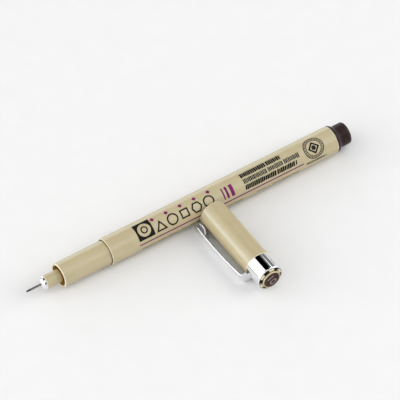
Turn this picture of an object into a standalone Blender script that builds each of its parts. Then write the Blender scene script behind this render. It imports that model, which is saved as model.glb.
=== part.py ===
"""Fine-line technical pen lying on a table, with its cap off and lying square beside the barrel.

Units are metres and +Z is up. The origin is under the middle of the whole object, on the table. The pen lies along X,
with its needle tip towards -X. The cap lies along Y, with its mouth at the barrel's side and its crown towards -Y.
Every piece is an object of its own. Pen pieces hang from the empty pen_frame, whose +Z runs from the tip to the rear.
Cap pieces hang from cap_frame, whose +Z runs from the mouth to the crown and whose +X points to the clip.
"""

import math

import bpy

MM = 0.001

# Pen: radii.
BARREL_R = 5.05 * MM
BARREL_BORE_R = 4.53 * MM
BARREL_MOUTH_R = 4.64 * MM
SECTION_R = 4.45 * MM
SECTION_RECESS_R = 3.8 * MM
SECTION_BORE_R = 3.92 * MM
SECTION_STOP_R = 3.5 * MM
HOLDER_NOSE_R = 2.4 * MM
HOLDER_BODY_R = 3.82 * MM
FERRULE_CONE_R = 2.34 * MM
FERRULE_TIP_R = 0.6 * MM
FERRULE_SPIGOT_R = 1.2 * MM
NEEDLE_R = 0.42 * MM
NEEDLE_BORE_R = 0.34 * MM
NIB_R = 0.3 * MM
WICK_R = 1.2 * MM
WICK_POINT_R = 0.6 * MM
RESERVOIR_R = 3.55 * MM
WRAP_R = 3.85 * MM
WRAP_BORE_R = 3.67 * MM
PLUG_SKIRT_R = 4.43 * MM
PLUG_SKIRT_BORE_R = 3.7 * MM
PLUG_FLANGE_R = 5.04 * MM
PLUG_NECK_R = 4.04 * MM
PLUG_GROOVE_R = 3.92 * MM
PLUG_KNOB_R = 4.06 * MM

# Pen: stations along its axis, measured from the tip.
NEEDLE_START = 1.3 * MM
FERRULE_START = 5.5 * MM
HOLDER_START = 7.15 * MM
FERRULE_END = 9.3 * MM
NEEDLE_END = 9.4 * MM
NIB_END = 10.0 * MM
WICK_START = 10.1 * MM
SECTION_START = 13.0 * MM
HOLDER_COLLAR_START = 18.0 * MM
HOLDER_END = 26.0 * MM
BARREL_START = 32.1 * MM
BARREL_MOUTH_END = 33.0 * MM
SECTION_END = 42.0 * MM
RESERVOIR_START = 42.5 * MM
WICK_END = 48.0 * MM
RESERVOIR_END = 117.0 * MM
PLUG_SKIRT_START = 119.0 * MM
PLUG_FLOOR = 124.5 * MM
BARREL_END = 125.65 * MM
PLUG_FLARE_START = 126.0 * MM
PLUG_FLARE_END = 127.85 * MM
PLUG_GROOVE_START = 128.4 * MM
PLUG_GROOVE_END = 128.65 * MM
PEN_LENGTH = 131.85 * MM

# Cap: radii.
CAP_R = 5.05 * MM
CAP_BORE_R = 4.55 * MM
SPIGOT_R = 4.58 * MM
SPIGOT_BORE_R = 3.9 * MM
LINER_HEAD_R = 4.43 * MM
LINER_R = 3.62 * MM
LINER_BORE_R = 3.15 * MM
BAND_R = 4.98 * MM
BAND_BORE_R = 4.68 * MM
LIP_R = 5.05 * MM
LIP_BORE_R = 4.54 * MM
INSERT_R = 4.58 * MM
TEETH_R = 4.44 * MM
HUB_R = 3.5 * MM
DISC_SEAT_R = 3.03 * MM
DISC_R = 2.95 * MM

# Cap: stations along its axis, measured from the mouth.
LINER_START = 19.4 * MM
LINER_STEP = 26.7 * MM
CAP_STEP = 27.0 * MM
BAND_START = 28.4 * MM
LINER_FLOOR = 32.4 * MM
LINER_END = 33.2 * MM
SPIGOT_END = 33.5 * MM
INSERT_START = 33.7 * MM
LIP_START = 35.2 * MM
BAND_END = 35.75 * MM
TEETH_END = 35.95 * MM
DISC_START = 36.1 * MM
HUB_END = 36.65 * MM
CAP_LENGTH = 36.92 * MM

# Crown vents: slots cut into the insert's rim, evenly round the axis.
VENTS = 6
VENT_WIDTH = 1.9 * MM
VENT_ROOT_R = 3.55 * MM
VENT_FLOOR = 34.7 * MM
VENT_TURN = math.radians(32.4)

# Clip: one strip of sheet, from a tongue under the band, through a notch and along the arm to a fold at the free end.
CLIP_T = 0.5 * MM
CLIP_WIDTH = 4.4 * MM
TONGUE_WIDTH = 2.6 * MM
RETURN_WIDTH = 3.4 * MM
CLIP_DROP = math.radians(21.6)
HINGE_STATION = 29.75 * MM
HINGE_R = 4.2 * MM
TONGUE_END = 32.0 * MM
BEND_R = 0.42 * MM
NECK_TOP_R = 6.75 * MM
NECK_TOP_STATION = 28.85 * MM
SHOULDER_R = 7.08 * MM
SHOULDER_STATION = 28.55 * MM
ARM_START = 28.0 * MM
ARM_CREST_R = 7.88 * MM
ARM_CREST_STATION = 12.5 * MM
ARM_BOW = 0.00273 / MM
ARM_END = 1.25 * MM
FOLD_R = 0.755 * MM
FOLD_END_ANGLE = 293
RETURN_PULL_STATION = 3.925 * MM
RETURN_PULL_R = 5.09 * MM
RETURN_END = 6.3 * MM
RETURN_END_R = 6.98 * MM
TIP_ROUNDING = 2.4 * MM
TIP_NARROWING = 0.6
NOTCH_WIDTH = 5.1 * MM
NOTCH_END = 30.2 * MM
SLOT_WIDTH = 3.4 * MM

# Fits and edges.
MOUTH_GAP = 0.2 * MM
SEAM = 0.06 * MM
FIT = 0.1 * MM
FINE_FIT = 0.05 * MM
EDGE = 0.12 * MM
SOFT_EDGE = 0.25 * MM
GRIP_EDGE = 0.4 * MM
KNOB_EDGE = 0.75 * MM

STEPS = 48
FINE_STEPS = 24
MERGE = 1e-6

PEN_Y = (MOUTH_GAP + CAP_LENGTH) / 2
TIP_X = -PEN_LENGTH / 2
CAP_X = TIP_X + 72.7 * MM
CAP_Y = PEN_Y - BARREL_R - MOUTH_GAP

# Colour, roughness and metallic value of each material.
FINISHES = {
    "cream_plastic": ((0.545, 0.464, 0.279), 0.32, 0.0),
    "pale_plastic": ((0.70, 0.66, 0.55), 0.45, 0.0),
    "brown_plastic": ((0.046, 0.030, 0.028), 0.35, 0.0),
    "disc_plastic": ((0.060, 0.024, 0.022), 0.4, 0.0),
    "chrome": ((0.83, 0.83, 0.84), 0.08, 1.0),
    "steel": ((0.62, 0.61, 0.59), 0.22, 1.0),
    "nib_fibre": ((0.02, 0.018, 0.018), 0.7, 0.0),
    "ink_fibre": ((0.012, 0.012, 0.018), 0.85, 0.0),
    "wrap_film": ((0.72, 0.74, 0.76), 0.25, 0.0),
}


def clear_scene():
    for obj in list(bpy.data.objects):
        bpy.data.objects.remove(obj, do_unlink=True)


def make_collection(name):
    collection = bpy.data.collections.new(name)
    bpy.context.scene.collection.children.link(collection)
    return collection


def make_material(name):
    colour, roughness, metallic = FINISHES[name]
    material = bpy.data.materials.new(name)
    material.use_nodes = True
    shader = material.node_tree.nodes["Principled BSDF"]
    shader.inputs["Base Color"].default_value = (*colour, 1.0)
    shader.inputs["Roughness"].default_value = roughness
    shader.inputs["Metallic"].default_value = metallic
    material.diffuse_color = (*colour, 1.0)
    return material


def make_frame(name, location, rotation, order, parts):
    frame = bpy.data.objects.new(name, None)
    frame.empty_display_size = 5 * MM
    frame.location = location
    frame.rotation_mode = order
    frame.rotation_euler = rotation
    parts.objects.link(frame)
    return frame


def fillet(station, radius, edge, start, end, count=4):
    """Points (station, radius) on a fillet's arc. Angles are in degrees: 0 points to the rear and 90 outwards."""
    points = []
    for i in range(count):
        angle = math.radians(start + (end - start) * i / (count - 1))
        points.append((station + edge * math.cos(angle), radius + edge * math.sin(angle)))
    return points


def round_front(station, radius, edge):
    """The rounded outer edge at the front end of a turned piece."""
    return fillet(station + edge, radius - edge, edge, 180, 90)


def round_rear(station, radius, edge):
    """The rounded outer edge at the rear end of a turned piece."""
    return fillet(station - edge, radius - edge, edge, 90, 0)


def turned(name, outer, bore, material, frame, parts, steps=STEPS):
    """A turned solid from (station, radius) points, both lists from front to rear. A through bore is a second list; a
    solid or blind piece has none, and its outer points start and end on the axis."""
    loop = list(reversed(outer)) + list(bore)
    edges = [(i, i + 1) for i in range(len(loop) - 1)]
    if bore:
        edges.append((len(loop) - 1, 0))
    mesh = bpy.data.meshes.new(name)
    mesh.from_pydata([(radius, 0.0, station) for station, radius in loop], edges, [])
    mesh.materials.append(material)
    obj = bpy.data.objects.new(name, mesh)
    obj.parent = frame
    parts.objects.link(obj)
    screw = obj.modifiers.new("Turn", "SCREW")
    screw.axis = "Z"
    screw.steps = steps
    screw.render_steps = steps
    screw.use_merge_vertices = True
    screw.merge_threshold = MERGE
    screw.use_smooth_shade = True
    return obj


def box_cutter(name, low, high, turn, frame, cutters):
    """A box between two corners in a frame's axes, then turned about the frame's +Z."""
    bpy.ops.mesh.primitive_cube_add(size=1.0)
    cutter = bpy.context.object
    cutter.name = name
    for vertex in cutter.data.vertices:
        vertex.co = [low[i] if vertex.co[i] < 0 else high[i] for i in range(3)]
    for collection in list(cutter.users_collection):
        collection.objects.unlink(cutter)
    cutters.objects.link(cutter)
    cutter.parent = frame
    cutter.rotation_euler = (0.0, 0.0, turn)
    cutter.hide_render = True
    cutter.display_type = "WIRE"
    return cutter


def cut(obj, cutter):
    boolean = obj.modifiers.new("Cut " + cutter.name, "BOOLEAN")
    boolean.operation = "DIFFERENCE"
    boolean.solver = "EXACT"
    boolean.object = cutter


def make_nib(pen, parts, materials):
    """The fibre nib and the steel needle tube round it."""
    turned(
        "nib_core",
        fillet(NIB_R, 0.0, NIB_R, 180, 90)
        + [(NIB_END, NIB_R), (NIB_END, 0.0)],
        [],
        materials["nib_fibre"],
        pen,
        parts,
        FINE_STEPS,
    )
    turned(
        "needle_tube",
        round_front(NEEDLE_START, NEEDLE_R, NEEDLE_R - NEEDLE_BORE_R)
        + [(NEEDLE_END, NEEDLE_R)],
        [(NEEDLE_START + FINE_FIT, NEEDLE_BORE_R), (NEEDLE_END, NEEDLE_BORE_R)],
        materials["steel"],
        pen,
        parts,
        FINE_STEPS,
    )


def make_ferrule(pen, parts, materials):
    """Bright cone that steps up from the needle to the holder, with a spigot pressed into the holder."""
    shoulder = HOLDER_START - SEAM
    bore_r = NEEDLE_R + FINE_FIT
    length = shoulder - FERRULE_START
    cone = []
    for part in (0.0, 0.06, 0.3, 0.55, 0.78, 0.93, 1.0):
        swell = math.sin(math.pi / 2 * part)
        cone.append((FERRULE_START + length * part, FERRULE_TIP_R + (FERRULE_CONE_R - FERRULE_TIP_R) * swell))
    turned(
        "tip_ferrule",
        cone + [(shoulder, FERRULE_SPIGOT_R), (FERRULE_END, FERRULE_SPIGOT_R)],
        [(FERRULE_START, bore_r), (FERRULE_END, bore_r)],
        materials["chrome"],
        pen,
        parts,
    )


def make_holder(pen, parts, materials):
    """Holder of the writing tip: a slim nose, and a collar gripped inside the front section."""
    socket_r = FERRULE_SPIGOT_R + FINE_FIT
    wick_bore_r = WICK_R + FIT
    socket_end = FERRULE_END + SOFT_EDGE
    turned(
        "nib_holder",
        round_front(HOLDER_START, HOLDER_NOSE_R, EDGE)
        + [(HOLDER_COLLAR_START, HOLDER_NOSE_R), (HOLDER_COLLAR_START, HOLDER_BODY_R), (HOLDER_END, HOLDER_BODY_R)],
        [(HOLDER_START, socket_r), (socket_end, socket_r), (socket_end, wick_bore_r), (HOLDER_END, wick_bore_r)],
        materials["cream_plastic"],
        pen,
        parts,
    )


def make_section(pen, parts, materials):
    """Thin sleeve for the fingers: its nose is open round the holder, and its tail slides into the barrel."""
    recess_end = HOLDER_COLLAR_START - FINE_FIT
    stop = HOLDER_END + FIT
    stop_end = stop + (SECTION_R - SECTION_STOP_R)
    turned(
        "front_section",
        round_front(SECTION_START, SECTION_R, GRIP_EDGE)
        + [(SECTION_END, SECTION_R)],
        [(SECTION_START, SECTION_RECESS_R), (recess_end, SECTION_RECESS_R)]
        + [(recess_end, SECTION_BORE_R), (stop, SECTION_BORE_R), (stop, SECTION_STOP_R)]
        + [(stop_end, SECTION_STOP_R), (stop_end, SECTION_BORE_R), (SECTION_END, SECTION_BORE_R)],
        materials["cream_plastic"],
        pen,
        parts,
    )


def make_ink_store(pen, parts, materials):
    """The wick, and the fibre reservoir that feeds it, in its film."""
    socket_r = WICK_R + FIT
    socket_end = WICK_END + FIT
    taper = WICK_START + WICK_R
    turned(
        "feed_wick",
        [(WICK_START, 0.0), (WICK_START, WICK_POINT_R), (taper, WICK_R), (WICK_END, WICK_R), (WICK_END, 0.0)],
        [],
        materials["ink_fibre"],
        pen,
        parts,
        FINE_STEPS,
    )
    turned(
        "ink_reservoir",
        [(socket_end, 0.0), (socket_end, socket_r), (RESERVOIR_START, socket_r), (RESERVOIR_START, RESERVOIR_R)]
        + [(RESERVOIR_END, RESERVOIR_R), (RESERVOIR_END, 0.0)],
        [],
        materials["ink_fibre"],
        pen,
        parts,
        FINE_STEPS,
    )
    turned(
        "reservoir_wrap",
        [(RESERVOIR_START, WRAP_R), (RESERVOIR_END, WRAP_R)],
        [(RESERVOIR_START, WRAP_BORE_R), (RESERVOIR_END, WRAP_BORE_R)],
        materials["wrap_film"],
        pen,
        parts,
        FINE_STEPS,
    )


def make_barrel(pen, parts, materials):
    """Plain round barrel tube, open at both ends, and a little wider inside its mouth."""
    turned(
        "barrel",
        round_front(BARREL_START, BARREL_R, SOFT_EDGE)
        + round_rear(BARREL_END, BARREL_R, EDGE),
        [(BARREL_START, BARREL_MOUTH_R), (BARREL_MOUTH_END, BARREL_MOUTH_R)]
        + [(BARREL_MOUTH_END, BARREL_BORE_R), (BARREL_END, BARREL_BORE_R)],
        materials["cream_plastic"],
        pen,
        parts,
    )


def make_end_plug(pen, parts, materials):
    """Dark plug that closes the barrel: a skirt inside it, a flared flange, and a round-edged knob behind a groove."""
    flange_start = BARREL_END + SEAM
    outline = [
        (PLUG_FLOOR, 0.0),
        (PLUG_FLOOR, PLUG_SKIRT_BORE_R),
        (PLUG_SKIRT_START, PLUG_SKIRT_BORE_R),
        (PLUG_SKIRT_START, PLUG_SKIRT_R - SOFT_EDGE),
        (PLUG_SKIRT_START + SOFT_EDGE, PLUG_SKIRT_R),
        (flange_start, PLUG_SKIRT_R),
        (flange_start, PLUG_FLANGE_R),
    ]
    flare_steps = 6
    for i in range(flare_steps + 1):
        part = i / flare_steps
        swell = (1 + math.cos(math.pi * part)) / 2
        station = PLUG_FLARE_START + (PLUG_FLARE_END - PLUG_FLARE_START) * part
        outline.append((station, PLUG_NECK_R + (PLUG_FLANGE_R - PLUG_NECK_R) * swell))
    outline += [
        (PLUG_GROOVE_START, PLUG_NECK_R),
        (PLUG_GROOVE_START + FINE_FIT, PLUG_GROOVE_R),
        (PLUG_GROOVE_END - FINE_FIT, PLUG_GROOVE_R),
        (PLUG_GROOVE_END + FINE_FIT, PLUG_KNOB_R),
    ]
    outline += fillet(PEN_LENGTH - KNOB_EDGE, PLUG_KNOB_R - KNOB_EDGE, KNOB_EDGE, 90, 0, 6)
    outline.append((PEN_LENGTH, 0.0))
    turned("end_plug", outline, [], materials["brown_plastic"], pen, parts)


def make_cap_tube(cap, parts, cutters, materials):
    """Cap shell: a full-width tube, then a spigot that the band covers, slotted for the clip's tongue."""
    tube = turned(
        "cap_tube",
        round_front(0.0, CAP_R, EDGE)
        + [(BAND_START - SEAM, CAP_R), (BAND_START - SEAM, SPIGOT_R), (SPIGOT_END, SPIGOT_R)],
        [(0.0, CAP_BORE_R), (CAP_STEP, CAP_BORE_R), (CAP_STEP, SPIGOT_BORE_R), (SPIGOT_END, SPIGOT_BORE_R)],
        materials["cream_plastic"],
        cap,
        parts,
    )
    slot = box_cutter(
        "slot_cutter",
        (LINER_BORE_R, -SLOT_WIDTH / 2, BAND_START + FIT),
        (CAP_R, SLOT_WIDTH / 2, SPIGOT_END + MM),
        0.0,
        cap,
        cutters,
    )
    cut(tube, slot)


def make_inner_cap(cap, parts, materials):
    """Liner that seals round the tip: a wide head in the bore and a narrow blind end inside the spigot."""
    turned(
        "inner_cap",
        [(LINER_FLOOR, 0.0), (LINER_FLOOR, LINER_BORE_R), (LINER_START + SOFT_EDGE, LINER_BORE_R)]
        + [(LINER_START, LINER_BORE_R + SOFT_EDGE), (LINER_START, LINER_HEAD_R), (LINER_STEP, LINER_HEAD_R)]
        + [(LINER_STEP, LINER_R), (LINER_END, LINER_R), (LINER_END, 0.0)],
        [],
        materials["pale_plastic"],
        cap,
        parts,
    )


def make_band(cap, parts, cutters, materials):
    """Bright band round the cap's closed end, rolled over at its rim, with a notch where the clip comes out."""
    band = turned(
        "crown_band",
        round_front(BAND_START, BAND_R, EDGE)
        + [(LIP_START, BAND_R)]
        + fillet(BAND_END - SOFT_EDGE, LIP_R - SOFT_EDGE, SOFT_EDGE, 110, 0, 6),
        [(BAND_START, BAND_BORE_R), (LIP_START, BAND_BORE_R), (LIP_START, LIP_BORE_R)]
        + [(BAND_END - EDGE, LIP_BORE_R), (BAND_END, LIP_BORE_R + EDGE)],
        materials["chrome"],
        cap,
        parts,
    )
    notch = box_cutter(
        "notch_cutter",
        (LINER_BORE_R, -NOTCH_WIDTH / 2, BAND_START - MM),
        (CAP_R + MM, NOTCH_WIDTH / 2, NOTCH_END),
        0.0,
        cap,
        cutters,
    )
    cut(band, notch)


def make_crown(cap, parts, cutters, materials):
    """Crown insert with vents round its rim, and the dark disc seated in its hub."""
    insert = turned(
        "crown_insert",
        [(INSERT_START, 0.0), (INSERT_START, INSERT_R), (LIP_START - SEAM, INSERT_R), (LIP_START - SEAM, TEETH_R)]
        + round_rear(TEETH_END, TEETH_R, EDGE)
        + [(TEETH_END, HUB_R + EDGE), (TEETH_END + EDGE, HUB_R)]
        + round_rear(HUB_END, HUB_R, EDGE)
        + [(HUB_END, DISC_SEAT_R), (DISC_START - SEAM, DISC_SEAT_R), (DISC_START - SEAM, 0.0)],
        [],
        materials["cream_plastic"],
        cap,
        parts,
    )
    for i in range(VENTS):
        vent = box_cutter(
            f"vent_cutter_{i + 1}",
            (VENT_ROOT_R, -VENT_WIDTH / 2, VENT_FLOOR),
            (CAP_R, VENT_WIDTH / 2, CAP_LENGTH),
            VENT_TURN + 2 * math.pi * i / VENTS,
            cap,
            cutters,
        )
        cut(insert, vent)
    turned(
        "colour_disc",
        [(DISC_START, 0.0), (DISC_START, DISC_R)]
        + round_rear(CAP_LENGTH, DISC_R, EDGE)
        + [(CAP_LENGTH, 0.0)],
        [],
        materials["disc_plastic"],
        cap,
        parts,
    )


def arm_radius(station):
    """Distance of the arm's middle plane from the cap's axis: a shallow bow."""
    return ARM_CREST_R - ARM_BOW * (station - ARM_CREST_STATION) ** 2


def clip_path():
    """(station, radius, half width) points along the middle of the strip, from the tongue's end to the return's end."""
    path = [(TONGUE_END, HINGE_R, TONGUE_WIDTH / 2), (HINGE_STATION + 2 * BEND_R, HINGE_R, TONGUE_WIDTH / 2)]
    neck_bend = HINGE_R + 2 * BEND_R
    for station, radius in fillet(HINGE_STATION + BEND_R, neck_bend, 2 * BEND_R, 270, 205, 5):
        path.append((station, radius, TONGUE_WIDTH / 2))
    path.append((HINGE_STATION - BEND_R, HINGE_R + 3 * BEND_R, CLIP_WIDTH / 2))
    path.append((NECK_TOP_STATION, NECK_TOP_R, CLIP_WIDTH / 2))
    path.append((SHOULDER_STATION, SHOULDER_R, CLIP_WIDTH / 2))
    arm_pieces = 12
    for i in range(arm_pieces + 1):
        station = ARM_START + (ARM_END - ARM_START) * i / arm_pieces
        path.append((station, arm_radius(station), tip_half_width(station)))
    fold = fillet(ARM_END, arm_radius(ARM_END) - FOLD_R, FOLD_R, 90, FOLD_END_ANGLE, 9)
    for station, radius in fold[1:]:
        path.append((station, radius, tip_half_width(station)))
    fold_end, fold_end_r = fold[-1]
    return_pieces = 6
    for i in range(1, return_pieces + 1):
        part = i / return_pieces
        start_share, pull_share, end_share = (1 - part) ** 2, 2 * part * (1 - part), part**2
        station = start_share * fold_end + pull_share * RETURN_PULL_STATION + end_share * RETURN_END
        radius = start_share * fold_end_r + pull_share * RETURN_PULL_R + end_share * RETURN_END_R
        path.append((station, radius, RETURN_WIDTH / 2))
    return path


def tip_half_width(station):
    """Half the strip's width, drawn in to round the free end's corners."""
    inward = 1.0 - (station - ARM_END + FOLD_R) / TIP_ROUNDING
    inward = min(1.0, max(0.0, inward))
    return CLIP_WIDTH / 2 * math.sqrt(1.0 - TIP_NARROWING * inward**2)


def make_clip(cap, parts, materials):
    """Pocket clip of one strip. Its origin lies on the line it flexes about, at the root of the tongue."""
    path = clip_path()
    vertices = []
    for station, radius, half_width in path:
        for side in (-1, 1):
            vertices.append((radius - HINGE_R, side * half_width, station - HINGE_STATION))
    faces = [(2 * i, 2 * i + 1, 2 * i + 3, 2 * i + 2) for i in range(len(path) - 1)]
    mesh = bpy.data.meshes.new("clip")
    mesh.from_pydata(vertices, [], faces)
    mesh.materials.append(materials["chrome"])
    mesh.shade_smooth()
    clip = bpy.data.objects.new("clip", mesh)
    clip.parent = cap
    clip.location = (HINGE_R, 0.0, HINGE_STATION)
    parts.objects.link(clip)
    sheet = clip.modifiers.new("Sheet", "SOLIDIFY")
    sheet.thickness = CLIP_T
    sheet.offset = 0.0
    sheet.use_even_offset = True
    mesh.set_sharp_from_angle(angle=math.radians(40))
    return clip


def main():
    clear_scene()
    parts = make_collection("technical_pen")
    cutters = make_collection("cutters")
    materials = {name: make_material(name) for name in FINISHES}
    quarter = math.pi / 2
    pen = make_frame("pen_frame", (TIP_X, PEN_Y, BARREL_R), (0.0, quarter, 0.0), "XYZ", parts)
    cap = make_frame("cap_frame", (CAP_X, CAP_Y, CAP_R), (quarter, 0.0, math.pi + CLIP_DROP), "ZYX", parts)
    make_nib(pen, parts, materials)
    make_ferrule(pen, parts, materials)
    make_holder(pen, parts, materials)
    make_section(pen, parts, materials)
    make_ink_store(pen, parts, materials)
    make_barrel(pen, parts, materials)
    make_end_plug(pen, parts, materials)
    make_cap_tube(cap, parts, cutters, materials)
    make_inner_cap(cap, parts, materials)
    make_band(cap, parts, cutters, materials)
    make_crown(cap, parts, cutters, materials)
    make_clip(cap, parts, materials)


main()
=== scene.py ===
"""Looks of a fine-line technical pen, which lies uncapped on a table with its cap square beside the barrel.

The frame is in metres. Turned pieces are drawn in millimetres, as outlines of (station, radius) points: a pen
station counts from the needle's tip, and a cap station from the cap's mouth. The print on the barrel is drawn
flat, in millimetres along the pen and round it, and then wrapped onto the barrel.
"""

import math
import random

import bmesh
import bpy
from mathutils import Matrix, Vector


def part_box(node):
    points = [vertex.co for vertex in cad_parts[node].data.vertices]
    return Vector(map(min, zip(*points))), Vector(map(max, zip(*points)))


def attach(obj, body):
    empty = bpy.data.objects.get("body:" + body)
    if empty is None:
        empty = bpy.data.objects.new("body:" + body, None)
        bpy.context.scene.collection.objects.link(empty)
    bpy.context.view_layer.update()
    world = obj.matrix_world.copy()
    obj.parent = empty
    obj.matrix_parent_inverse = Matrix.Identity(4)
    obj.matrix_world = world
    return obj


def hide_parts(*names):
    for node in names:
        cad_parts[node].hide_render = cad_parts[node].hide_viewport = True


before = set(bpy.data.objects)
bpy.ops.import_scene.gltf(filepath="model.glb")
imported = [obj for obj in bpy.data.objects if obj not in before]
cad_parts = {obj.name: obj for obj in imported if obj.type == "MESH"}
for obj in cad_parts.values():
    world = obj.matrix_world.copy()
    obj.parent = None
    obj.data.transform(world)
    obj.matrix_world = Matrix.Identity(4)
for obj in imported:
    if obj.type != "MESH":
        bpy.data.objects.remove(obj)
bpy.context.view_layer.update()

MM = 0.001

# Where the object lies, read from the frame.
BARREL_LOW, BARREL_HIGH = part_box("barrel")
TIP_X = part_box("nib_core")[0].x
PEN_Y = (BARREL_LOW.y + BARREL_HIGH.y) / 2
PEN_Z = (BARREL_LOW.z + BARREL_HIGH.z) / 2
TUBE_LOW, TUBE_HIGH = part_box("cap_tube")
CAP_X = (TUBE_LOW.x + TUBE_HIGH.x) / 2
CAP_Z = (TUBE_LOW.z + TUBE_HIGH.z) / 2
MOUTH_Y = TUBE_HIGH.y
CLIP_DROP = math.radians(21.6)

# Camera: far away with a long lens, so that the view is nearly parallel.
VIEW_AZIMUTH = math.radians(-33.56)
VIEW_ELEVATION = math.radians(48.77)
VIEW_DISTANCE = 2.5
VIEW_LENS = 650.1
SENSOR = 36.0
AIM_FROM_TIP = 0.07473
AIM_BEYOND_PEN = 0.0056
CLIP_NEAR = 0.1
CLIP_FAR = 20.0

# Pen details that the frame's boxes don't show, in millimetres. Guards are how far extra points stand before
# and after a place where shade is painted. The section's painted shade starts JOINT_LINE before the barrel.
NEEDLE_BORE = 0.34
NEEDLE_PLAY = 0.05
FERRULE_TIP = 0.6
FERRULE_SHOULDER = 7.09
FERRULE_SPIGOT = 1.2
HOLDER_NOSE = 2.4
HOLDER_SOCKET = 1.3
COLLAR_START = 18.0
SECTION_RECESS = 3.8
SECTION_BORE = 3.92
JOINT_LINE = 0.2
JOINT_GUARDS = (0.04, 0.02)
NOSE_GUARDS = (0.4, 0.3)
BARREL_BORE = 4.53
BARREL_MOUTH = 4.64
BARREL_MOUTH_END = 33.0
PLUG_SKIRT = 4.43
PLUG_SKIRT_BORE = 3.7
PLUG_FLOOR = 124.5
PLUG_FLANGE_START = 125.71
PLUG_FLARE_START = 126.0
PLUG_FLARE_END = 127.85
PLUG_GROOVE_START = 128.4
PLUG_GROOVE_END = 128.65
PLUG_GROOVE_SLOPE = 0.05
PLUG_NECK = 4.04
PLUG_GROOVE = 3.92
PLUG_KNOB = 4.06

# Cap details, in millimetres. A guard is how far an extra point stands from an edge, to keep shading flat.
CAP_BORE = 4.55
CAP_STEP = 27.0
TUBE_END = 28.34
SPIGOT = 4.58
SPIGOT_BORE = 3.9
SLOT_HALF_WIDTH = 1.7
SLOT_START = 28.5
SLOT_PAST_END = 1.0
LINER_BORE = 3.15
LINER_FLOOR = 32.4
LINER_STEP = 26.7
LINER_TAIL = 3.62
BAND_R = 4.98
BAND_WALL = 0.3
BAND_EDGE = 0.04
NOTCH_HALF_WIDTH = 2.55
NOTCH_END = 30.2
LIP_START = 35.2
LIP_BORE = 4.54
LIP_ROLL = 0.3
LIP_ROLL_LENGTH = 0.34
LIP_SLOPE = (0.02, 0.03)
LIP_TURN = ((0.03, 0.08), (0.12, 0.03))
BAND_GUARD = 0.08
LIP_GUARD = 0.25
ROLL_GUARD = 0.05
BAND_EDGE_ANGLE = math.radians(50)
TEETH_START = 35.14
TEETH_R = 4.44
TEETH_END = 35.95
HUB_R = 3.5
SEAT_R = 3.03
SEAT_FLOOR = 36.04
DISC_DISH = 0.03
DISC_RIM = 0.35
VENTS = 6
VENT_HALF_ANGLE = math.radians(16.5)
VENT_EDGE_ANGLE = math.radians(0.7)
VENT_TURN = math.radians(32.4)
VENT_FLOOR = 34.7
VENT_ROOT = 3.55
VENT_RINGS = (4.05, 3.9, 3.75)

# The crown's rounded edges: steps of (along, across, edge share) from the corner that they round, the first
# two in millimetres. The edge share is how much a point takes of the lighter edge colour, partly rubbing and
# partly painted highlight. Along is down from a top, or up from the foot.
TOOTH_EDGE = ((0.12, 0.0, 0.0), (0.03, 0.04, 1.0), (0.0, 0.13, 1.0))
HUB_FOOT = ((0.0, 0.16, 0.4), (0.05, 0.05, 0.0), (0.16, 0.0, 0.0))
HUB_EDGE = ((0.14, 0.0, 0.3), (0.04, 0.04, 0.5), (0.0, 0.14, 0.1))
SEAT_EDGE = ((0.0, 0.08, 0.1), (0.06, 0.0, 0.4))

# Edge radii, in millimetres. An edge without a name takes DEFAULT_EDGE, and 0 leaves a point as it is.
DEFAULT_EDGE = 0.06
NIB_EDGE = 0.2
NEEDLE_EDGE = 0.08
NEEDLE_BORE_EDGE = 0.03
HOLDER_EDGE = 0.14
COLLAR_FILLET = 0.3
SECTION_EDGE = 0.45
SECTION_BORE_EDGE = 0.1
BARREL_EDGE = 0.22
BARREL_MOUTH_EDGE = 0.05
BARREL_END_EDGE = 0.26
BARREL_BORE_EDGE = 0.08
SKIRT_EDGE = 0.2
FLANGE_EDGE = 0.08
FLARE_EDGE = 0.2
GROOVE_EDGE = 0.02
KNOB_EDGE = 0.75
CAP_EDGE = 0.16
CAP_BORE_EDGE = 0.1
TUBE_END_EDGE = 0.24
LINER_FLOOR_EDGE = 0.4
LINER_MOUTH_EDGE = 0.25
LINER_TAIL_EDGE = 0.2
DISC_EDGE = 0.14
DISC_RIM_EDGE = 0.1

# Clip, in millimetres.
SHEET = 0.5
SHEET_EDGE = 0.13
CLIP_WIDTH = 4.4
CLIP_CROWN = 0.14
TONGUE_WIDTH = 2.6
TONGUE_R = 4.2
TONGUE_END = 32.0
NECK_ROOT = 29.75
NECK_BEND = 0.8
NECK_RISE = 0.9
NECK_START = 29.25
SHOULDER = (28.75, 7.15)
SHOULDER_BEND = 0.9
ARM_START = 27.4
ARM_CREST_R = 7.88
ARM_CREST = 12.5
ARM_BOW = 0.00273
ARM_END = 1.25
FOLD_R = 0.755
FOLD_TURN = math.radians(203)
FOLD_TAPER = 0.6
FOLD_TAPER_LENGTH = 2.4
RETURN_WIDTH = 3.4
RETURN_PULL = (3.925, 5.09)
RETURN_TIP = (6.3, 6.98)
FACE_SHARES = (0.92, 0.6, 0.3, 0.0, -0.3, -0.6, -0.92)

# Print on the barrel, in millimetres: stations along the pen, and heights round the barrel from the line that
# faces up and to the front, at PRINT_TURN from the top.
PRINT_TURN = math.radians(36.0)
INK_ABOVE = 0.012
INK_BELOW = 0.008
WRAP_STEP = 0.4
ROUND_SIDES = 48
EMBLEM_AT = (46.6, 0.95)
EMBLEM_SIDE = 6.5
EMBLEM_DISC = 2.45
EMBLEM_RING = 1.35
EMBLEM_STROKE = 0.5
FIGURE_START = 52.8
FIGURE_STEP = 4.95
FIGURE_STROKE = 0.56
DIAMOND_START = 51.0
DIAMOND_STEP = 5.75
DIAMOND_HEIGHT = 3.05
DIAMOND_R = 0.85
BARS = ((78.6, 0.55), (80.1, 0.9), (82.1, 1.35))
BARS_HEIGHT = -0.27
BARS_TALL = 4.3
RULE_AT = (77.0, -3.7)
RULE_LENGTH = 67.8
RULE_STROKE = 0.5
SMALL_PRINT = ((44.2, 70.1), (79.4, 85.7), (97.9, 109.4))
PURPLE_PRINT = (91.2, 96.8)
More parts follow.
